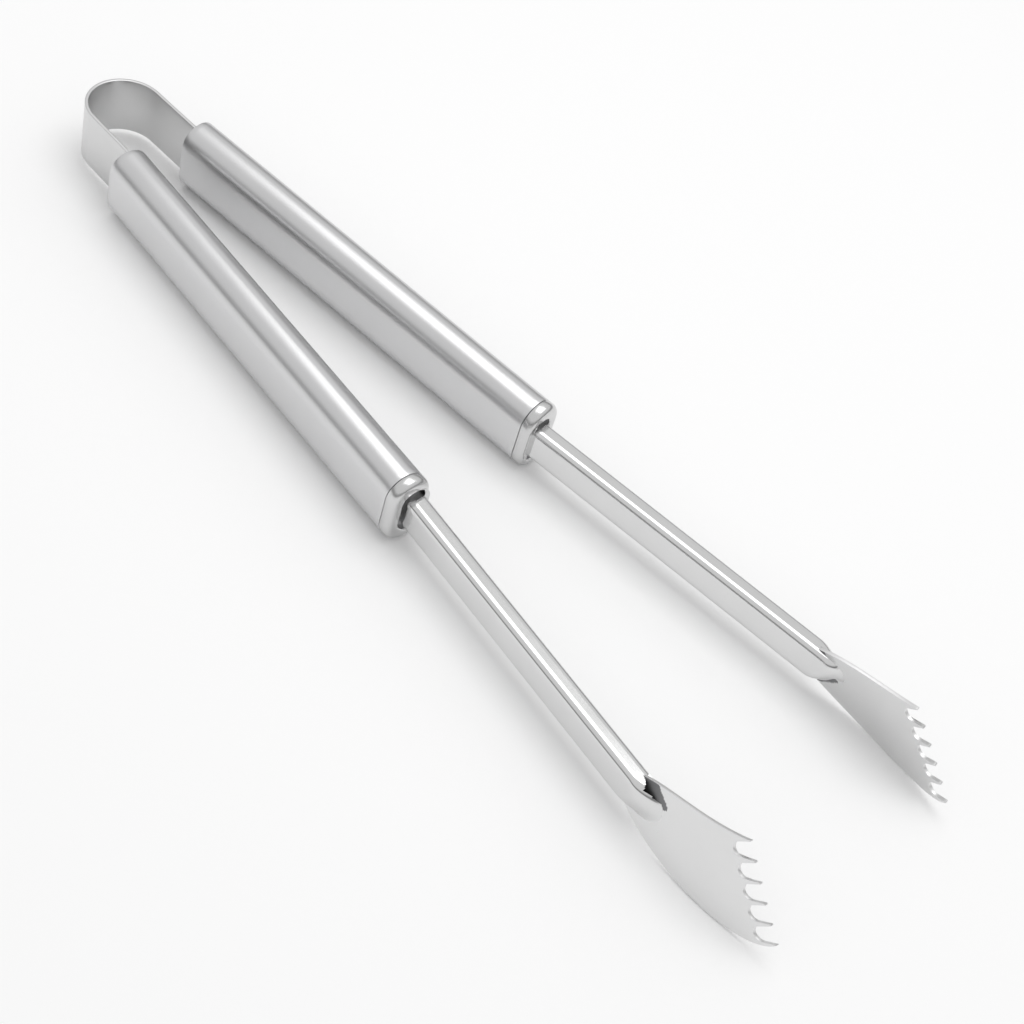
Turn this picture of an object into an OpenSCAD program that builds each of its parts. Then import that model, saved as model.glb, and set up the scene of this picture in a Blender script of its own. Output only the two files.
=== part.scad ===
// Spring tongs with serrated blades.
// One strip of spring steel is bent into a bow. A hollow handle sits on each of its two legs, and a
// rolled arm that ends in a flared, toothed blade runs out of each handle.
// Frame: X along the tongs towards the teeth, Y across the splay, Z across the strip.
// The origin is the centre of the bow, which is also the axis that the two sides flex about.

/* [Spring bow] */
// Inner radius of the bow
bow_inner_r = 12.2; // [10:0.1:13]
// Thickness of the spring strip
strip_t = 1.2; // [0.8:0.1:1.4]
// Width of the spring strip
strip_w = 21; // [16:0.5:22]
// Outward angle of the bow's legs
leg_angle = 1.4; // [0:0.1:4]

/* [Handles] */
// Outward angle of each handle
handle_angle = 4.85; // [4:0.05:7]
// Where the rear end of the handle starts along X
handle_rear_x = 21; // [18:1:30]
// Length of the handle tube
tube_len = 153.5; // [120:0.5:180]
// Height of the oval section
handle_h = 25; // [24:0.5:30]
// Depth of the oval section
handle_d = 14; // [12:0.5:16]
// Wall of the handle tube and its cap
tube_wall = 0.8; // [0.6:0.1:1]
// Length of the front cap that shows
cap_len = 4; // [3:0.5:8]
// Rounding of the front cap's rim
cap_round = 2.4; // [1:0.1:2.6]

/* [Arms] */
// Extra outward angle of the arm over its handle
arm_kick = 1.85; // [0:0.05:3]
// Length of the rolled shank, from the cap to the mouth
shank_len = 111; // [80:1:140]
// Height of the shank
shank_h = 12; // [11:0.2:15]
// Depth of the shank
shank_d = 6.8; // [5.4:0.2:7.4]
// Rounding of the shank's edges
shank_r = 2.2; // [1.6:0.1:2.6]
// Thickness of the arm's sheet
sheet_t = 1.1; // [0.8:0.1:1.2]

/* [Blades] */
// Radius of the blade's inward curve
blade_bend_r = 190; // [150:5:260]
// Angle at which the blade leans in at its top edge
blade_lean = 10.8; // [0:0.2:15]
// Number of gullets between the teeth
gullets = 5; // [3:1:6]
// Depth of a gullet
gullet_depth = 5.9; // [4:0.1:6.5]

/* [Hidden] */
$fn = 64;

fit_gap = 0.05;         // between parts that lie on each other
slide_gap = 0.15;       // between a part and the slot that it passes through
bow_mid_r = bow_inner_r + strip_t / 2;

// The handle's own frame starts on its axis at its rear end.
axis_y0 = 12.25;        // where the handle's axis would cross X = 0
handle_origin = [handle_rear_x, axis_y0 + handle_rear_x * tan(handle_angle), 0];
handle_straight = handle_h - handle_d;

// The arm's own frame starts on the shank's axis at the handle's front face.
arm_inset = 1.5;        // the shank's axis lies this far inside the handle's axis
arm_start = tube_len + cap_len;
shank_inside = 8;       // the part of the shank behind the cap's front face
outer_wall_mid = shank_d / 2 - sheet_t / 2;

// Inside the handle the strip's leg lies on the inner face of the arm's tang.
tang_mid = outer_wall_mid - arm_inset;
tang_w = 14;
tang_start = 20;
strip_offset = tang_mid - sheet_t / 2 - fit_gap - strip_t / 2;
strip_meets = 22;       // distance into the handle at which the leg runs along it
strip_end = 62;
rivet_places = [32, 50];
rivet_r = 1.5;
rivet_head_r = 3;
rivet_head_h = 1.1;

plug_depth = 5;         // how far in from the handle's rear end the plug starts
plug_len = 9;
plug_slot_inner = -1.7; // the inner face of the plug's slot, from the handle's axis
plug_slot_d = 2.5;
skirt_len = 6;          // the part of the front cap inside the tube
slot_h = 17;            // the oval slot in the front cap
slot_d = 9;
seam_gap = 0.2;         // the joint line between tube and cap

// The blade's outline, as [distance along the arm, height].
blade_offset = 0.1;     // the blade's middle surface, from the shank's axis
blade_start = shank_len - 3;
top_tip = [shank_len + 30.8, 18.7];
low_tip = [shank_len + 52, -3.8];
tooth_line = low_tip - top_tip;
tooth_pitch = norm(tooth_line) / gullets;
tooth_angle = atan2(tooth_line[1], tooth_line[0]);
tip_flat = 0.5;
gullet_r = tooth_pitch * 0.4;
nose_r = outer_wall_mid + sheet_t / 2 - blade_offset;

function bezier(a, b, c, d, steps = 14) =
    [for (i = [0 : steps]) let (t = i / steps, s = 1 - t)
        s * s * s * a + 3 * s * s * t * b + 3 * s * t * t * c + t * t * t * d];

// Copies a right-hand shape to the side it is wanted on: 1 is right (+Y), -1 is left (-Y).
module on_side(side) {
    if (side < 0) mirror([0, 1, 0]) children();
    else children();
}

module in_handle() {
    translate(handle_origin) rotate([0, 0, handle_angle]) children();
}

module in_arm() {
    in_handle() translate([arm_start, -arm_inset, 0]) rotate([0, 0, arm_kick]) children();
}

// Turns a shape that was drawn up Z so that it runs along X, with its own X as depth and Y as height.
module lie_along_x() {
    rotate([90, 0, 90]) children();
}

// Sweeps a half profile, drawn as [distance from the axis, place along it], round an oval.
module oval_sweep(straight) {
    lie_along_x() {
        for (turn = [0, 180]) rotate([0, 0, turn])
            translate([0, straight / 2, 0]) rotate_extrude(angle = 180) children();
        rotate([90, 0, 0]) linear_extrude(straight, center = true) {
            children();
            mirror([1, 0]) children();
        }
    }
}

module oval(height, depth) {
    square([depth, height - depth], center = true);
    for (end = [-1, 1]) translate([0, end * (height - depth) / 2]) circle(d = depth);
}

module rounded_box(depth, height, r) {
    square([depth - 2 * r, height], center = true);
    square([depth, height - 2 * r], center = true);
    for (x = [-1, 1], y = [-1, 1])
        translate([x * (depth / 2 - r), y * (height / 2 - r)]) circle(r);
}

// Unit normal of the run between two points.
function run_normal(from, to) = let (run = (to - from) / norm(to - from)) [-run[1], run[0]];

// A point moved off a folded line by a distance, along the fold's mitre.
function mitred(points, i, distance) =
    let (back = run_normal(points[max(i - 1, 0)], points[max(i, 1)]),
         ahead = run_normal(points[min(i, len(points) - 2)], points[min(i + 1, len(points) - 1)]))
    points[i] + distance * (back + ahead) / (1 + back * ahead);

// A strip of even thickness along a folded line.
module folded_strip(points, thickness) {
    last = len(points) - 1;
    polygon(concat([for (i = [0 : last]) mitred(points, i, thickness / 2)],
                   [for (i = [last : -1 : 0]) mitred(points, i, -thickness / 2)]));
}

module rivet_holes() {
    in_handle() for (x = rivet_places) translate([x, 0, 0]) rotate([90, 0, 0])
        cylinder(h = handle_d, r = rivet_r + fit_gap, center = true);
}

// A point of the ground plane as the bow's leg frame sees it.
function in_leg_frame(p) =
    [p[0] * cos(leg_angle) + p[1] * sin(leg_angle), p[1] * cos(leg_angle) - p[0] * sin(leg_angle)];

// One half of the bow with its leg. The arcs of the two halves overlap at the crown.
module half_bow() {
    crown_overlap = 3;
    entry = [(handle_rear_x + bow_mid_r * sin(leg_angle)) / cos(leg_angle), bow_mid_r];
    along = [cos(handle_angle), sin(handle_angle)];
    across = [-sin(handle_angle), cos(handle_angle)];
    base = [handle_origin[0], handle_origin[1]] + across * strip_offset;
    fold = in_leg_frame(base + along * strip_meets);
    tip = in_leg_frame(base + along * strip_end);
    difference() {
        rotate([0, 0, leg_angle]) {
            rotate([0, 0, 90]) rotate_extrude(angle = 90 - leg_angle + crown_overlap, $fn = 128)
                translate([bow_inner_r, -strip_w / 2]) square([strip_t, strip_w]);
            linear_extrude(strip_w, center = true) folded_strip([[0, bow_mid_r], entry, fold, tip], strip_t);
        }
        rivet_holes();
    }
}

module spring_bow() {
    color("gainsboro") for (side = [-1, 1]) on_side(side) half_bow();
}

module handle_tube(side) {
    color("lightgray") on_side(side) in_handle() oval_sweep(handle_straight)
        translate([handle_d / 2 - tube_wall, 0]) square([tube_wall, tube_len - seam_gap]);
}

// Half profile of the cap: a skirt inside the tube, a band flush with it and a rounded front face.
module cap_profile() {
    half = handle_d / 2;
    skirt_r = half - tube_wall - fit_gap;
    translate([skirt_r - tube_wall, -skirt_len]) square([tube_wall, skirt_len + cap_len / 2]);
    difference() {
        union() {
            translate([half - cap_round, 0]) square([cap_round, cap_len - cap_round]);
            square([half - cap_round, cap_len]);
            translate([half - cap_round, cap_len - cap_round]) intersection() {
                circle(cap_round);
                square(cap_round);
            }
        }
        translate([-1, -1]) square([skirt_r - tube_wall + 1, cap_len - tube_wall + 1]);
    }
}

module front_cap(side) {
    color("silver") on_side(side) difference() {
        in_handle() translate([tube_len, 0, 0]) oval_sweep(handle_straight) cap_profile();
        in_arm() lie_along_x() translate([0, 0, -skirt_len]) linear_extrude(2 * skirt_len) oval(slot_h, slot_d);
    }
}

// The plug fills the tube a little way in from its rear end, round the strip.
module rear_plug(side) {
    plug_h = handle_h - 2 * (tube_wall + fit_gap);
    plug_d = handle_d - 2 * (tube_wall + fit_gap);
    color("dimgray") on_side(side) difference() {
        in_handle() lie_along_x() translate([0, 0, plug_depth]) linear_extrude(plug_len) oval(plug_h, plug_d);
        in_handle() translate([plug_depth - 1, plug_slot_inner, -strip_w / 2 - slide_gap])
            cube([plug_len + 2, plug_slot_d, strip_w + 2 * slide_gap]);
    }
}

module shank_section(inset) {
    rounded_box(shank_d - 2 * inset, shank_h - 2 * inset, shank_r - inset);
}

// The rolled shank: a rounded tube whose outer half is closed by a round nose and whose inner half
// ends in an open mouth.
module shank() {
    difference() {
        union() {
            lie_along_x() translate([0, 0, -shank_inside])
                linear_extrude(shank_len + shank_inside) shank_section(0);
            intersection() {
                translate([shank_len, blade_offset, 0]) cylinder(h = shank_h, r = nose_r, center = true);
                lie_along_x() translate([0, 0, shank_len - nose_r])
                    linear_extrude(2 * nose_r) shank_section(0);
            }
        }
        lie_along_x() translate([0, 0, -shank_inside - 1])
            linear_extrude(shank_len + shank_inside + 1) shank_section(sheet_t);
        translate([shank_len - nose_r, blade_offset - sheet_t / 2, 0]) mouth_cut();
    }
}

// Everything on the inner side of the blade's surface and ahead of a slanting line.
module mouth_cut() {
    reach = shank_h;
    linear_extrude(2 * reach, center = true)
        polygon([[nose_r, 0], [3 * nose_r, 0], [3 * nose_r, -reach], [-nose_r, -reach]]);
}

// The notch between two teeth, from just above the tooth line down to its round end.
module gullet() {
    rise = 1;
    depth = gullet_depth - gullet_r;
    mouth = (tooth_pitch - tip_flat) / 2;
    mouth_above = mouth + rise * (mouth - gullet_r) / depth;
    round_end = [for (turn = [190 : 20 : 350]) [0, -depth] + gullet_r * [cos(turn), sin(turn)]];
    polygon(concat([[-mouth_above, rise]], round_end, [[mouth_above, rise]]));
}

module blade_outline() {
    low_start = [blade_start, -shank_h / 2 - 0.6];
    top_start = [blade_start, shank_h / 2];
    low = bezier(low_start, [blade_start + 14, -12.5], [blade_start + 49, -15.6], low_tip);
    top = bezier(top_tip, [blade_start + 22, 12.4], [blade_start + 9, 11], top_start);
    polygon(concat(low, top));
}

// The curved sheet that the blade is cut from, standing on its edge.
module blade_sheet() {
    reach = 2 * shank_h;
    turn = 24;
    translate([blade_start, -blade_bend_r, -reach]) rotate([0, 0, 90 - turn])
        rotate_extrude(angle = turn, $fn = 360)
            translate([blade_bend_r - sheet_t / 2, 0]) square([sheet_t, 2 * reach]);
}

// Carries a flat outline right through the blade, from its inner face to its outer face.
module through_blade() {
    span = 80;
    rotate([90, 0, 0]) linear_extrude(span, center = true) children();
}

module blade() {
    translate([0, blade_offset, 0]) rotate([blade_lean, 0, 0]) difference() {
        intersection() {
            blade_sheet();
            through_blade() blade_outline();
        }
        through_blade() for (i = [0 : gullets - 1])
            translate(top_tip + tooth_line * (i + 0.5) / gullets) rotate(tooth_angle) gullet();
    }
}

module tang() {
    length = arm_start - shank_inside + 1 - tang_start;
    difference() {
        in_handle() translate([tang_start, tang_mid - sheet_t / 2, -tang_w / 2]) cube([length, sheet_t, tang_w]);
        rivet_holes();
    }
}

module arm(side) {
    color("whitesmoke") on_side(side) {
        tang();
        in_arm() {
            shank();
            blade();
        }
    }
}

// Clamps the strip to the arm's tang. It has a head at each end.
module rivet(side, x) {
    grip_outer = tang_mid + sheet_t / 2 + fit_gap;
    grip_inner = strip_offset - strip_t / 2 - fit_gap;
    color("gray") on_side(side) in_handle() translate([x, 0, 0]) rotate([-90, 0, 0]) {
        translate([0, 0, grip_inner]) cylinder(h = grip_outer - grip_inner, r = rivet_r);
        translate([0, 0, grip_outer]) cylinder(h = rivet_head_h, r1 = rivet_head_r, r2 = rivet_head_r * 0.6);
        translate([0, 0, grip_inner - rivet_head_h])
            cylinder(h = rivet_head_h, r1 = rivet_head_r * 0.6, r2 = rivet_head_r);
    }
}

spring_bow();
handle_tube(-1);  // left_handle_tube
handle_tube(1);  // right_handle_tube
front_cap(-1);  // left_front_cap
front_cap(1);  // right_front_cap
rear_plug(-1);  // left_rear_plug
rear_plug(1);  // right_rear_plug
arm(-1);  // left_arm
arm(1);  // right_arm
rivet(-1, rivet_places[0]);  // left_rear_rivet
rivet(-1, rivet_places[1]);  // left_front_rivet
rivet(1, rivet_places[0]);  // right_rear_rivet
rivet(1, rivet_places[1]);  // right_front_rivet
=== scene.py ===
import math

import bmesh
import bpy
from mathutils import Matrix, Vector


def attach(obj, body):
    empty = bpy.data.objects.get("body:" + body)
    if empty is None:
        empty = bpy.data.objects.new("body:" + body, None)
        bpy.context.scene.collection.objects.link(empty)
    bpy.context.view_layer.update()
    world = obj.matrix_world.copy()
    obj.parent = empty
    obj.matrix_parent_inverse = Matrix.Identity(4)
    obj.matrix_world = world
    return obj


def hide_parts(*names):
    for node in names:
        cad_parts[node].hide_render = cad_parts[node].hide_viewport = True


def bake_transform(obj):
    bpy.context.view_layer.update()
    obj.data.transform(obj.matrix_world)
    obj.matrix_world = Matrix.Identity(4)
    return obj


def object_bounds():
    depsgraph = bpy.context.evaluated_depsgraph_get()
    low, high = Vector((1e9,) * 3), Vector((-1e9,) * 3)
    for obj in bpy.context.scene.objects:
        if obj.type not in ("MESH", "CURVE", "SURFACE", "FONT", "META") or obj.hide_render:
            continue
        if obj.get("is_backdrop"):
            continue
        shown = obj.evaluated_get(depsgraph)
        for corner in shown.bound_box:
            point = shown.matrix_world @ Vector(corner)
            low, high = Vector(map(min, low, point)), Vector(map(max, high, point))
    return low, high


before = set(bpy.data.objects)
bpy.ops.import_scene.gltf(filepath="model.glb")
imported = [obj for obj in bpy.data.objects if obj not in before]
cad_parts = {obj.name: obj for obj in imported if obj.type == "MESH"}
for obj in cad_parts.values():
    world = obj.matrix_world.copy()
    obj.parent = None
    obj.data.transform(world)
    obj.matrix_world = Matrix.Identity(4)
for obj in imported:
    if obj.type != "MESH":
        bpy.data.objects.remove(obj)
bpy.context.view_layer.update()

MM = 0.001
SIDES = {"left": -1, "right": 1}

# Driving dimensions in millimetres, the same as the CAD part's.
BOW_INNER_R = 12.2
STRIP_T = 1.2
STRIP_W = 21
LEG_ANGLE = math.radians(1.4)
HANDLE_ANGLE = math.radians(4.85)
HANDLE_REAR_X = 21
AXIS_Y0 = 12.25
TUBE_LEN = 153.5
HANDLE_H = 25
HANDLE_D = 14
TUBE_WALL = 0.8
CAP_LEN = 4
CAP_ROUND = 2.4
SLOT_H = 17
SLOT_D = 9
ARM_KICK = math.radians(1.85)
ARM_INSET = 1.5
SHANK_LEN = 111
SHANK_H = 12
SHANK_D = 6.8
SHANK_R = 2.2
SHEET_T = 1.1
SHANK_INSIDE = 8
BLADE_BEND_R = 190
BLADE_LEAN = math.radians(10.8)
BLADE_OFFSET = 0.1
TOP_TIP = Vector((SHANK_LEN + 30.8, 18.7))
LOW_TIP = Vector((SHANK_LEN + 52, -3.8))
GULLETS = 5
GULLET_DEPTH = 5.9
TIP_FLAT = 0.5
TANG_W = 14
TANG_START = 20
STRIP_MEETS = 22
STRIP_END = 62
FIT_GAP = 0.05
EDGE_BREAK = 0.16
BLADE_ROOT = SHANK_LEN - 3
NOSE_END = SHANK_LEN + 9.5

BOW_R = BOW_INNER_R + STRIP_T / 2
OUTER_WALL_MID = SHANK_D / 2 - SHEET_T / 2
TANG_MID = OUTER_WALL_MID - ARM_INSET
STRIP_OFFSET = TANG_MID - SHEET_T / 2 - FIT_GAP - STRIP_T / 2


# ---------------------------------------------------------------- places

def turned(x, y, angle):
    """A point turned about Z by an angle."""
    c, s = math.cos(angle), math.sin(angle)
    return x * c - y * s, x * s + y * c


def in_handle(side, x, y, z):
    """A point of the handle's own frame (along, outward, up), in metres in the shared frame."""
    x, y = turned(x, y, HANDLE_ANGLE)
    rear_y = AXIS_Y0 + HANDLE_REAR_X * math.tan(HANDLE_ANGLE)
    return Vector((HANDLE_REAR_X + x, side * (rear_y + y), z)) * MM


def in_arm(side, u, v, w):
    """A point of the arm's own frame (along, outward, up), in metres in the shared frame."""
    x, y = turned(u, v, ARM_KICK)
    return in_handle(side, TUBE_LEN + CAP_LEN + x, y - ARM_INSET, w)


def smoothstep(low, high, x):
    """A soft rise from 0 at low to 1 at high."""
    t = min(1.0, max(0.0, (x - low) / (high - low)))
    return t * t * (3 - 2 * t)


def lerp(a, b, t):
    """The value a fraction t of the way from a to b."""
    return a + (b - a) * t


def bezier(points, t):
    """A point of the cubic curve with these four control points."""
    a, b, c, d = (Vector(p) for p in points)
    s = 1 - t
    return s * s * s * a + 3 * s * s * t * b + 3 * s * t * t * c + t * t * t * d


# ---------------------------------------------------------------- meshes

class Shell:
    """Collects the points and faces of one mesh."""

    def __init__(self):
        self.points, self.faces, self.slots = [], [], []

    def grid(self, rows, wrap_rows=False, wrap_points=False, slot=0, skip=None):
        """Quads between rows of points. slot may be a function, and skip leaves quads out."""
        base, width = len(self.points), len(rows[0])
        for row in rows:
            self.points.extend(row)
        for i in range(len(rows) if wrap_rows else len(rows) - 1):
            for j in range(width if wrap_points else width - 1):
                if skip and skip(i, j):
                    continue
                a, b = base + i * width, base + (i + 1) % len(rows) * width
                k = (j + 1) % width
                self.faces.append((a + j, a + k, b + k, b + j))
                self.slots.append(slot(i, j) if callable(slot) else slot)

    def cap(self, ring):
        """One flat face across a ring of points."""
        base = len(self.points)
        self.points.extend(ring)
        self.faces.append(tuple(range(base, base + len(ring))))
        self.slots.append(0)

    def make(self, name, materials, smooth_angle=32, merge=1e-7):
        """Turns the collected faces into an object with outward normals."""
        mesh = bpy.data.meshes.new(name)
        mesh.from_pydata([tuple(p) for p in self.points], [], self.faces)
        for material in materials:
            mesh.materials.append(material)
        for polygon, slot in zip(mesh.polygons, self.slots):
            polygon.material_index = slot
        bm = bmesh.new()
        bm.from_mesh(mesh)
        bmesh.ops.remove_doubles(bm, verts=bm.verts, dist=merge)
        loose = [v for v in bm.verts if not v.link_faces]
        bmesh.ops.delete(bm, geom=loose, context="VERTS")
        bmesh.ops.recalc_face_normals(bm, faces=bm.faces)
        bm.to_mesh(mesh)
        bm.free()
        obj = bpy.data.objects.new(name, mesh)
        bpy.context.scene.collection.objects.link(obj)
        mesh.shade_smooth()
        mesh.set_sharp_from_angle(angle=math.radians(smooth_angle))
        return obj


def modify(obj, kind, **settings):
    """Adds a modifier and applies it at once."""
    modifier = obj.modifiers.new(kind.title(), kind)
    for key, value in settings.items():
        setattr(modifier, key, value)
    depsgraph = bpy.context.evaluated_depsgraph_get()
    mesh = bpy.data.meshes.new_from_object(obj.evaluated_get(depsgraph))
    obj.modifiers.clear()
    obj.data = mesh


def rounded_ring(depth, height, r, corner_steps=8, side_steps=12, end_steps=2):
    """Points round a rounded box section, as (outward, up) pairs, from its lower outer corner."""
    ring = []
    half_d, half_h = depth / 2, height / 2
    corners = [(1, -1, -90), (1, 1, 0), (-1, 1, 90), (-1, -1, 180)]
    for index, (sx, sy, start) in enumerate(corners):
        cx, cy = sx * (half_d - r), sy * (half_h - r)
        for k in range(corner_steps + 1):
            a = math.radians(start + 90 * k / corner_steps)
            ring.append((cx + r * math.cos(a), cy + r * math.sin(a)))
        nx, ny, _ = corners[(index + 1) % 4]
        steps = side_steps if index in (0, 2) else end_steps
        a = math.radians(start + 90)
        p = (cx + r * math.cos(a), cy + r * math.sin(a))
        q = (nx * (half_d - r) + r * math.cos(a), ny * (half_h - r) + r * math.sin(a))
        for k in range(1, steps):
            ring.append((lerp(p[0], q[0], k / steps), lerp(p[1], q[1], k / steps)))
    return ring


def oval_ring(inset=0.0, height=HANDLE_H, depth=HANDLE_D):
    """Points round the handle's oval section, moved in by an inset."""
    d, h = depth - 2 * inset, height - 2 * inset
    return rounded_ring(d, h, d / 2 - 0.001, corner_steps=14, side_steps=6)


# ---------------------------------------------------------------- materials

def nodes_of(material):
    """A material's nodes, its links and its shader."""
    material.use_nodes = True
    tree = material.node_tree
    return tree.nodes, tree.links, tree.nodes["Principled BSDF"]


def steel(name, color, roughness, brush, angle=0.0, grain=(3, 900, 900), bump=0.05, wear=0.06):
    """Stainless steel with brush grain along X turned by an angle, blotchy polish and fine scratches."""
    material = bpy.data.materials.new(name)
    nodes, links, shader = nodes_of(material)
    shader.inputs["Metallic"].default_value = 1.0

    place = nodes.new("ShaderNodeTexCoord")
    mapping = nodes.new("ShaderNodeMapping")
    mapping.inputs["Rotation"].default_value = (0, 0, -angle)
    links.new(place.outputs["Object"], mapping.inputs["Vector"])
    stretch = nodes.new("ShaderNodeMapping")
    stretch.inputs["Scale"].default_value = grain
    links.new(mapping.outputs["Vector"], stretch.inputs["Vector"])

    streaks = nodes.new("ShaderNodeTexNoise")
    streaks.inputs["Scale"].default_value = 4.0
    streaks.inputs["Detail"].default_value = 6.0
    streaks.inputs["Roughness"].default_value = 0.65
    links.new(stretch.outputs["Vector"], streaks.inputs["Vector"])

    blotches = nodes.new("ShaderNodeTexNoise")
    blotches.inputs["Scale"].default_value = 70.0
    blotches.inputs["Detail"].default_value = 4.0
    links.new(place.outputs["Object"], blotches.inputs["Vector"])

    scratches = nodes.new("ShaderNodeTexVoronoi")
    scratches.feature = "DISTANCE_TO_EDGE"
    scratches.inputs["Scale"].default_value = 1.0
    scratch_scale = nodes.new("ShaderNodeMapping")
    scratch_scale.inputs["Scale"].default_value = (40, 420, 420)
    links.new(mapping.outputs["Vector"], scratch_scale.inputs["Vector"])
    links.new(scratch_scale.outputs["Vector"], scratches.inputs["Vector"])

    tint = nodes.new("ShaderNodeMix")
    tint.data_type = "RGBA"
    tint.inputs["A"].default_value = (*[c * (1 - wear) for c in color], 1)
    tint.inputs["B"].default_value = (*color, 1)
    links.new(blotches.outputs["Fac"], tint.inputs["Factor"])
    links.new(tint.outputs["Result"], shader.inputs["Base Color"])

    mixed = nodes.new("ShaderNodeMath")
    mixed.operation = "MULTIPLY_ADD"
    mixed.inputs[1].default_value = brush
    mixed.inputs[2].default_value = roughness - brush * 0.5
    links.new(streaks.outputs["Fac"], mixed.inputs[0])
    blotched = nodes.new("ShaderNodeMath")
    blotched.operation = "MULTIPLY_ADD"
    blotched.inputs[1].default_value = 0.08
    links.new(blotches.outputs["Fac"], blotched.inputs[0])
    links.new(mixed.outputs["Value"], blotched.inputs[2])
    links.new(blotched.outputs["Value"], shader.inputs["Roughness"])

    height = nodes.new("ShaderNodeMath")
    height.operation = "MULTIPLY_ADD"
    height.inputs[1].default_value = 0.25
    links.new(scratches.outputs["Distance"], height.inputs[0])
    links.new(streaks.outputs["Fac"], height.inputs[2])
    relief = nodes.new("ShaderNodeBump")
    relief.inputs["Strength"].default_value = bump
    relief.inputs["Distance"].default_value = 0.0001
    links.new(height.outputs["Value"], relief.inputs["Height"])
    links.new(relief.outputs["Normal"], shader.inputs["Normal"])
    return material


def moulded_plastic(name, color):
    """Black moulded plastic with a fine eggshell texture."""
    material = bpy.data.materials.new(name)
    nodes, links, shader = nodes_of(material)
    place = nodes.new("ShaderNodeTexCoord")
    texture = nodes.new("ShaderNodeTexNoise")
    texture.inputs["Scale"].default_value = 1500
    texture.inputs["Detail"].default_value = 5
    links.new(place.outputs["Object"], texture.inputs["Vector"])
    tint = nodes.new("ShaderNodeMix")
    tint.data_type = "RGBA"
    tint.inputs["A"].default_value = (*[c * 0.7 for c in color], 1)
    tint.inputs["B"].default_value = (*[c * 1.3 for c in color], 1)
    links.new(texture.outputs["Fac"], tint.inputs["Factor"])
    links.new(tint.outputs["Result"], shader.inputs["Base Color"])
    rough = nodes.new("ShaderNodeMapRange")
    rough.inputs["To Min"].default_value = 0.55
    rough.inputs["To Max"].default_value = 0.8
    links.new(texture.outputs["Fac"], rough.inputs["Value"])
    links.new(rough.outputs["Result"], shader.inputs["Roughness"])
    relief = nodes.new("ShaderNodeBump")
    relief.inputs["Strength"].default_value = 0.2
    relief.inputs["Distance"].default_value = 0.0001
    links.new(texture.outputs["Fac"], relief.inputs["Height"])
    links.new(relief.outputs["Normal"], shader.inputs["Normal"])
    return material


# ---------------------------------------------------------------- handles

def handle_shell(side_name, outside, inside):
    """The oval tube with slightly broken edges at both ends."""
    side, shell = SIDES[side_name], Shell()
    front, edge = TUBE_LEN - 0.2, 0.25
    profile = [(0, TUBE_WALL), (0, edge * 0.7), (edge * 0.2, edge * 0.2), (edge * 0.7, 0)]
    profile += [(lerp(2, front - 2, k / 12), 0) for k in range(13)]
    profile += [(front - edge, 0), (front - edge * 0.3, edge * 0.25), (front, edge), (front, TUBE_WALL)]
    rows = [[in_handle(side, x, y, z) for y, z in oval_ring(inset)] for x, inset in profile]
    last = len(rows) - 1
    # The tube's inner wall takes the dark steel, painted shade for the inside of the tube.
    shell.grid(rows, wrap_rows=True, wrap_points=True, slot=lambda i, j: 1 if i == last else 0)
    return shell.make(f"{side_name}_handle_shell", [outside, inside])


def front_collar(side_name, outside, inside):
    """The cap: a rounded rim and a front face with a recessed oval slot round the arm."""
    side, shell = SIDES[side_name], Shell()
    seam, front = TUBE_LEN - 0.08, TUBE_LEN + CAP_LEN
    rows = []

    def oval_row(x, inset):
        rows.append([in_handle(side, x, y, z) for y, z in oval_ring(inset)])

    def slot_row(u, grow):
        rows.append([in_arm(side, u, y, z)
                     for y, z in oval_ring(0, SLOT_H + 2 * grow, SLOT_D + 2 * grow)])

    edge, rim_steps = 0.25, 8
    oval_row(seam, TUBE_WALL)
    oval_row(seam, edge)
    oval_row(seam + edge * 0.32, edge * 0.32)
    oval_row(seam + edge, 0)
    for k in range(rim_steps + 1):
        a = math.pi / 2 * k / rim_steps
        oval_row(front - CAP_ROUND + CAP_ROUND * math.sin(a), CAP_ROUND * (1 - math.cos(a)))
    lip, lip_steps = 0.55, 5
    for k in range(lip_steps + 1):
        a = math.pi / 2 * k / lip_steps
        slot_row(-lip * (1 - math.cos(a)), lip * (1 - math.sin(a)))
    dark_from = len(rows) - 1
    floor_u = -2.2  # the slot's floor, which closes on the arm
    slot_row(floor_u, 0)
    overlap = 0.3
    arm_ring = rounded_ring(SHANK_D - overlap, SHANK_H - overlap, SHANK_R, corner_steps=14, side_steps=6)
    rows.append([in_arm(side, floor_u, y, z) for y, z in arm_ring])
    rows.append([in_arm(side, floor_u - 0.5, y, z) for y, z in arm_ring])
    oval_row(seam, TUBE_WALL + 0.4)
    shell.grid(rows, wrap_rows=True, wrap_points=True, slot=lambda i, j: 1 if i >= dark_from else 0)
    return shell.make(f"{side_name}_front_collar", [outside, inside])


# ---------------------------------------------------------------- spring bow

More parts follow.
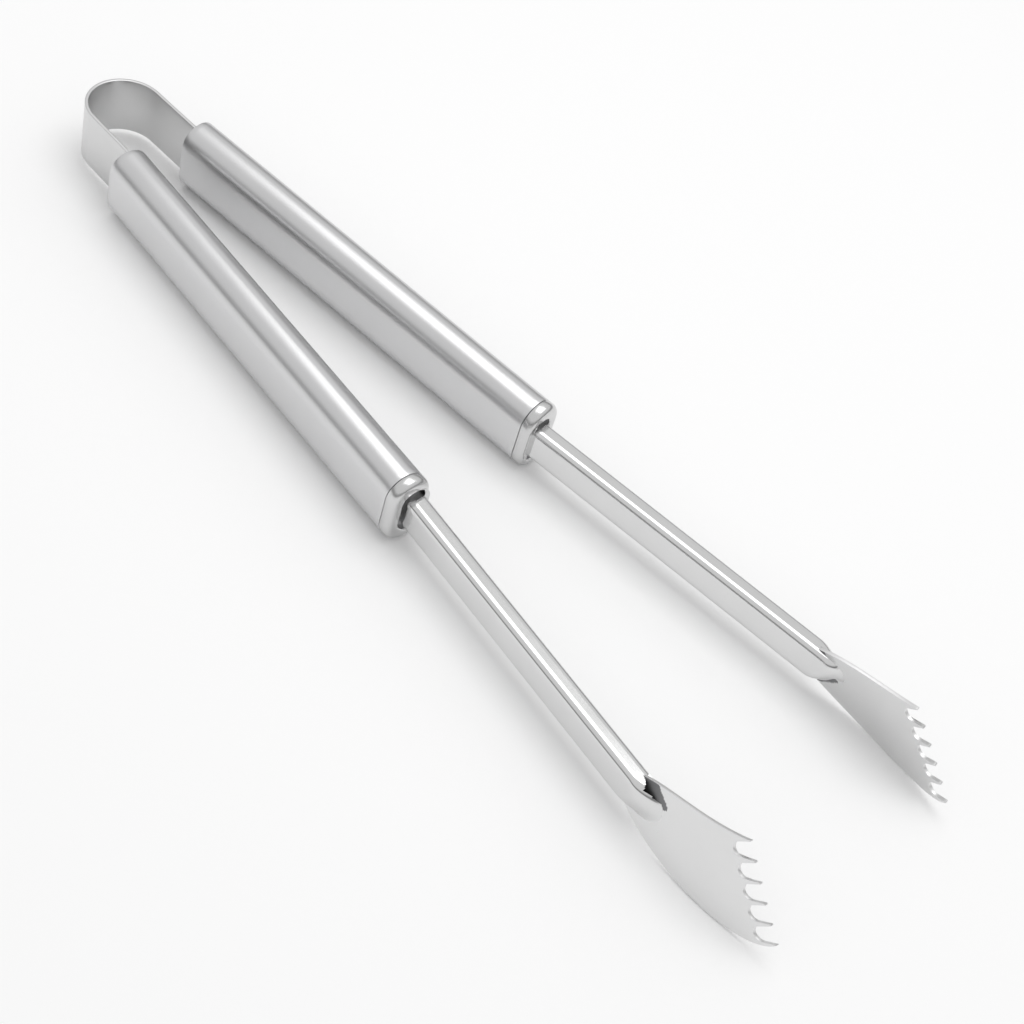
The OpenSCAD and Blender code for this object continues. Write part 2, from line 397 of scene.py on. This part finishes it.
def bow_path():
    """The strip's middle line as its +Y half and its -Y half, each from or to the inside of a handle."""
    along = Vector((math.cos(HANDLE_ANGLE), math.sin(HANDLE_ANGLE)))
    across = Vector((-along[1], along[0]))
    rear = Vector((HANDLE_REAR_X, AXIS_Y0 + HANDLE_REAR_X * math.tan(HANDLE_ANGLE)))
    base = rear + across * STRIP_OFFSET
    start = BOW_R * Vector((-math.sin(LEG_ANGLE), math.cos(LEG_ANGLE)))
    entry = Vector((HANDLE_REAR_X, start[1] + (HANDLE_REAR_X - start[0]) * math.tan(LEG_ANGLE)))
    corners = [base + along * STRIP_END, base + along * STRIP_MEETS, entry, start]
    half = [corners[0]]
    leg_steps, smoothing_passes, arc_steps = 10, 3, 40
    for a, b in zip(corners, corners[1:]):
        half += [a.lerp(b, k / leg_steps) for k in range(1, leg_steps + 1)]
    for _ in range(smoothing_passes):
        inner = [(half[i - 1] + 2 * half[i] + half[i + 1]) / 4 for i in range(1, len(half) - 1)]
        half = [half[0]] + inner + [half[-1]]
    sweep = math.pi / 2 - LEG_ANGLE
    for k in range(1, arc_steps + 1):
        a = math.pi / 2 + LEG_ANGLE + sweep * k / arc_steps
        half.append(BOW_R * Vector((math.cos(a), math.sin(a))))
    right = [Vector((p[0], -p[1])) for p in half]
    return half, right[-2::-1]


def bow_strip(material):
    """The strip, with rounded edges and closed ends."""
    upper, lower = bow_path()
    path = upper + lower
    section = rounded_ring(STRIP_T, STRIP_W, 0.32, corner_steps=4, side_steps=10)
    rows = []
    for i, p in enumerate(path):
        ahead, back = path[min(i + 1, len(path) - 1)], path[max(i - 1, 0)]
        run = (ahead - back).normalized()
        normal = Vector((-run[1], run[0]))
        rows.append([Vector((p[0] + normal[0] * v, p[1] + normal[1] * v, w)) * MM for v, w in section])
    shell = Shell()
    shell.grid(rows, wrap_points=True)
    shell.cap(rows[0])
    shell.cap(rows[-1])
    return shell.make("spring_bow_strip", [material])


# ---------------------------------------------------------------- arms and blades

def blade_surface(u, w, rise):
    """A point of the leaning, curved blade, rise millimetres outward of its middle surface."""
    along = max(0.0, u - BLADE_ROOT)
    v = math.sqrt(BLADE_BEND_R ** 2 - along ** 2) - BLADE_BEND_R + rise
    c, s = math.cos(BLADE_LEAN), math.sin(BLADE_LEAN)
    return u, BLADE_OFFSET + v * c - w * s, w * c + v * s


def tooth_edge():
    """The toothed edge as (fraction along the tooth line, depth of the edge behind that line)."""
    line = LOW_TIP - TOP_TIP
    pitch = line.length / GULLETS
    r = pitch * 0.4
    centre = GULLET_DEPTH - r
    mouth = (pitch - TIP_FLAT) / 2
    flank_steps, arc_steps = 4, 12
    points = [(0.0, 0.0)]
    for i in range(GULLETS):
        middle = (i + 0.5) * pitch
        left = []
        for k in range(flank_steps):
            t = k / flank_steps
            left.append((middle - lerp(mouth, r, t), lerp(0, centre, t)))
        arc = []
        for k in range(arc_steps + 1):
            a = math.pi * k / arc_steps
            arc.append((middle - r * math.cos(a), centre + r * math.sin(a)))
        right = [(2 * middle - s, d) for s, d in reversed(left)]
        points += left + arc + right
    points.append((line.length, 0.0))
    return [(s / line.length, d) for s, d in points]


def blade_rows(rise, columns=64):
    """Rows of points from the blade's root to its teeth, one for each point of the toothed edge."""
    line = (LOW_TIP - TOP_TIP).normalized()
    into = Vector((line[1], -line[0]))
    half = SHANK_H / 2
    top = [(BLADE_ROOT, half), (BLADE_ROOT + 9, 11), (BLADE_ROOT + 22, 12.4), TOP_TIP]
    low = [(BLADE_ROOT, -half - 0.6), (BLADE_ROOT + 14, -12.5), (BLADE_ROOT + 49, -15.6), LOW_TIP]
    rows = []
    for t, depth in tooth_edge():
        row = []
        for k in range(columns + 1):
            c = (k / columns) ** 1.5  # columns lie closer together at the root
            notch = into * depth * c ** 4
            p = bezier(top, c).lerp(bezier(low, c), t) + notch
            row.append(blade_surface(p[0], p[1], rise))
        rows.append(row)
    return rows


def left_mouth_shade(u, w):
    """The part of the left blade's outer face that lies inside the tube's mouth, painted dark as shade.
    """
    apex_u, apex_w, bluntness, taper = SHANK_LEN + 9.2, 4.4, 0.7, 1.7
    return u < apex_u - math.hypot(w - apex_w, bluntness) * taper


def right_mouth_shade(u, w):
    """The part of the right blade's inner face that lies inside the tube's mouth, painted dark as shade.
    """
    apex_u, apex_w, taper = SHANK_LEN + 6.7, -1.6, 0.9
    return u < apex_u - abs(w - apex_w) * taper


def blade(side_name, material, inside):
    """The toothed sheet, with its edges broken and painted shade on its faces inside the tube's mouth."""
    side, shell = SIDES[side_name], Shell()
    shade_in_mouth, shaded_sign = (left_mouth_shade, 1) if side_name == "left" else (right_mouth_shade, -1)
    skins = []
    for sign in (1, -1):
        flat = blade_rows(sign * SHEET_T / 2)
        # Faces inside the tube's mouth take the dark steel: painted shade.
        shaded = [[sign == shaded_sign and shade_in_mouth(u, w) for u, _, w in row] for row in flat]
        skins.append([[in_arm(side, *p) for p in row] for row in flat])
        shell.grid(skins[-1], slot=lambda i, j: int(shaded[i][j]))
    shell.grid([skin[0] for skin in skins])
    shell.grid([skin[-1] for skin in skins])
    shell.grid([[row[0] for row in skin] for skin in skins])
    shell.grid([[row[-1] for row in skin] for skin in skins])
    obj = shell.make(f"{side_name}_blade", [material, inside], merge=1e-6)
    modify(obj, "BEVEL", width=EDGE_BREAK * MM, segments=2, limit_method="ANGLE",
           angle_limit=math.radians(50), harden_normals=False)
    obj.data.shade_smooth()
    obj.data.set_sharp_from_angle(angle=math.radians(40))
    return obj


def nose_line(w):
    """How far along the arm the flattened end of the tube reaches at a height."""
    furthest_u, furthest_w, curve = SHANK_LEN + 9, 1, 6 / 7 ** 2
    return furthest_u - curve * (w - furthest_w) ** 2


def arm_skin(u, v, w):
    """Moves a point of the tube's section onto the nose that closes down on the blade."""
    reach = 11 if v > 0 else 7  # the outer wall closes down over a longer stretch
    hidden_in_blade, narrowing = 0.04, 0.92
    k = smoothstep(nose_line(w) - reach, nose_line(w), u)
    flat = blade_surface(u, w, v / (SHANK_D / 2) * (SHEET_T / 2 - hidden_in_blade))
    return lerp(v, flat[1], k), lerp(w, w * narrowing, k)


def left_mouth(u, v, w):
    """The left arm's mouth is in its upper face, cut back further on the inner side."""
    start = SHANK_LEN - 3.5 + 4 * (v / SHANK_D + 0.5)
    brim = SHANK_H / 2 - 1 - 0.12 * max(0.0, u - SHANK_LEN)
    return u > start and w > brim


def right_mouth(u, v, w):
    """The right arm's mouth is in the lower part of its inner face, with a slit below it."""
    slit = SHANK_LEN + 1 + (w + SHANK_H / 2) * 0.7
    return v < 0 and w < 0.6 and u > slit


def arm_tube(side_name, outside, inside):
    """The rolled tube: polished sheet with an open mouth where it runs out into the blade."""
    side, shell = SIDES[side_name], Shell()
    mouth = left_mouth if side_name == "left" else right_mouth
    section = rounded_ring(SHANK_D, SHANK_H, SHANK_R, side_steps=32, end_steps=12)
    stations = [-SHANK_INSIDE, 0, 25, 50, 75, 92]
    nose_from, nose_steps = 95, 72
    stations += [lerp(nose_from, NOSE_END, k / nose_steps) for k in range(nose_steps + 1)]
    rows = []
    for u in stations:
        rows.append([in_arm(side, u, *arm_skin(u, v, w)) for v, w in section])

    def open_here(i, j):
        v, w = section[j]
        return mouth((stations[i] + stations[i + 1]) / 2, v, w)

    shell.grid(rows, wrap_points=True, skip=open_here)
    obj = shell.make(f"{side_name}_arm_tube", [outside, inside])
    # Half the sheet's thickness keeps the wall's inside from coming through the blade.
    # The wall's inside takes the dark steel, painted shade for the hollow seen through the mouth.
    modify(obj, "SOLIDIFY", thickness=SHEET_T / 2 * MM, offset=-1, use_even_offset=False,
           material_offset=1, material_offset_rim=0)
    obj.data.shade_smooth()
    obj.data.set_sharp_from_angle(angle=math.radians(40))
    return obj


def arm_tang(side_name, material):
    """The flat tail of the arm inside the handle."""
    side, shell = SIDES[side_name], Shell()
    section = rounded_ring(SHEET_T, TANG_W, 0.3, corner_steps=3, side_steps=4)
    end = TUBE_LEN + CAP_LEN - SHANK_INSIDE + 2
    rows = [[in_handle(side, x, TANG_MID + v, w) for v, w in section]
            for x in (TANG_START, lerp(TANG_START, end, 0.5), end)]
    shell.grid(rows, wrap_points=True)
    shell.cap(rows[0])
    shell.cap(rows[-1])
    return shell.make(f"{side_name}_arm_tang", [material])


# ---------------------------------------------------------------- stage

def point_at(obj, target):
    """Turns a lamp so that it shines at a point."""
    direction = Vector(target) - obj.location
    obj.rotation_euler = direction.to_track_quat("-Z", "Y").to_euler()


def soft_light(name, location, target, size, power):
    """A rectangular lamp that points at a target."""
    light = bpy.data.lights.new(name, "AREA")
    light.shape = "RECTANGLE"
    light.size, light.size_y = size
    light.energy = power
    obj = bpy.data.objects.new(name, light)
    bpy.context.scene.collection.objects.link(obj)
    obj.location = location
    point_at(obj, target)


def studio_world():
    """A pale sky, dim near the horizon, where a studio's walls are. What the lens sees of it is white."""
    world = bpy.data.worlds.new("studio")
    bpy.context.scene.world = world
    world.use_nodes = True
    nodes, links = world.node_tree.nodes, world.node_tree.links
    background = nodes["Background"]
    place = nodes.new("ShaderNodeTexCoord")
    parts = nodes.new("ShaderNodeSeparateXYZ")
    links.new(place.outputs["Generated"], parts.inputs["Vector"])
    ramp = nodes.new("ShaderNodeValToRGB")
    stops = [(0.0, 0.7), (0.10, 0.2), (0.20, 0.4), (0.40, 1.0), (1.0, 1.0)]
    elements = ramp.color_ramp.elements
    while len(elements) < len(stops):
        elements.new(0.5)
    for element, (position, value) in zip(elements, stops):
        element.position = position
        element.color = (value, value, value, 1)
    links.new(parts.outputs["Z"], ramp.inputs["Fac"])
    path = nodes.new("ShaderNodeLightPath")
    seen = nodes.new("ShaderNodeMix")
    seen.data_type = "RGBA"
    seen.inputs["B"].default_value = (1.3, 1.3, 1.3, 1)
    links.new(path.outputs["Is Camera Ray"], seen.inputs["Factor"])
    links.new(ramp.outputs["Color"], seen.inputs["A"])
    links.new(seen.outputs["Result"], background.inputs["Color"])
    background.inputs["Strength"].default_value = 0.78


def pale_floor():
    """A wide pale floor that the tongs lie on."""
    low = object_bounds()[0][2]
    reach = 6.0
    mesh = bpy.data.meshes.new("floor")
    corners = [(-reach, -reach, low), (reach, -reach, low), (reach, reach, low), (-reach, reach, low)]
    mesh.from_pydata(corners, [], [(0, 1, 2, 3)])
    floor = bpy.data.objects.new("floor", mesh)
    bpy.context.scene.collection.objects.link(floor)
    material = bpy.data.materials.new("pale_floor")
    _, _, shader = nodes_of(material)
    shader.inputs["Base Color"].default_value = (0.97, 0.97, 0.97, 1)
    shader.inputs["Roughness"].default_value = 0.9
    shader.inputs["Specular IOR Level"].default_value = 0.1
    mesh.materials.append(material)
    floor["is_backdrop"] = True


def camera():
    """The photograph's viewing angle: above the tongs, on the left-hand side ahead of the teeth."""
    data = bpy.data.cameras.new("camera")
    data.sensor_width = 36
    data.lens = 70.2
    data.shift_x = 0.0010
    data.shift_y = -0.0019
    data.clip_end = 50
    obj = bpy.data.objects.new("camera", data)
    bpy.context.scene.collection.objects.link(obj)
    right = Vector((0.66659, 0.71301, 0.21744)).normalized()
    back = Vector((0.35999, -0.56335, 0.74367)).normalized()
    up = back.cross(right).normalized()
    right = up.cross(back)
    turn = Matrix((right, up, back)).transposed().to_4x4()
    obj.matrix_world = Matrix.Translation(Vector((408.43, -335.95, 442.68)) * MM) @ turn
    bpy.context.scene.camera = obj
    bpy.context.scene.view_settings.view_transform = "Standard"


# ---------------------------------------------------------------- assembly

studio_world()
camera()
soft_light("overhead", (0.1, 0.25, 1.1), (0.16, 0, 0), (1.2, 0.8), 4.5)

satin_bow = steel("satin_bow", (0.72, 0.72, 0.72), 0.30, 0.10, grain=(60, 60, 900))
# Painted shade: the same steel as outside, darkened to stand for the shade inside the tubes and in the
# mouths.
painted_shade_steel = steel("painted_shade_steel", (0.26, 0.26, 0.265), 0.55, 0.1, bump=0.1)
collar_inside = steel("collar_inside", (0.68, 0.68, 0.685), 0.5, 0.1)
liner = moulded_plastic("liner", (0.03, 0.03, 0.032))
rivet_head = steel("rivet_head", (0.55, 0.55, 0.56), 0.35, 0.08, grain=(300, 300, 300))

bow = bow_strip(satin_bow)
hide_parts("spring_bow")
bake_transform(bow)

for name, sign in SIDES.items():
    body = f"{name}_side"
    brushed = steel(f"{name}_brushed_handle", (0.70, 0.70, 0.705), 0.27, 0.10, sign * HANDLE_ANGLE)
    collar_steel = steel(f"{name}_collar", (0.68, 0.68, 0.68), 0.20, 0.08, sign * HANDLE_ANGLE)
    polished = steel(f"{name}_polished_arm", (0.74, 0.74, 0.74), 0.10, 0.05,
                     sign * (HANDLE_ANGLE + ARM_KICK), bump=0.02)
    satin = steel(f"{name}_satin_blade", (0.80, 0.80, 0.80), 0.34, 0.10,
                  sign * (HANDLE_ANGLE + ARM_KICK), grain=(8, 500, 500))
    pieces = [
        (handle_shell(name, brushed, painted_shade_steel), "handle_tube", "handle_steel"),
        (front_collar(name, collar_steel, collar_inside), "front_cap", "cap_steel"),
        (arm_tube(name, polished, painted_shade_steel), "arm", "arm_steel"),
        (arm_tang(name, satin), "arm", "arm_steel"),
        (blade(name, satin, painted_shade_steel), "arm", "arm_steel"),
    ]
    for piece, part, slot in pieces:
        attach(piece, body)
        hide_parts(f"{name}_{part}")
    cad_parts[f"{name}_rear_plug"].material_slots[0].material = liner
    for place in ("rear", "front"):
        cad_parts[f"{name}_{place}_rivet"].material_slots[0].material = rivet_head

pale_floor()
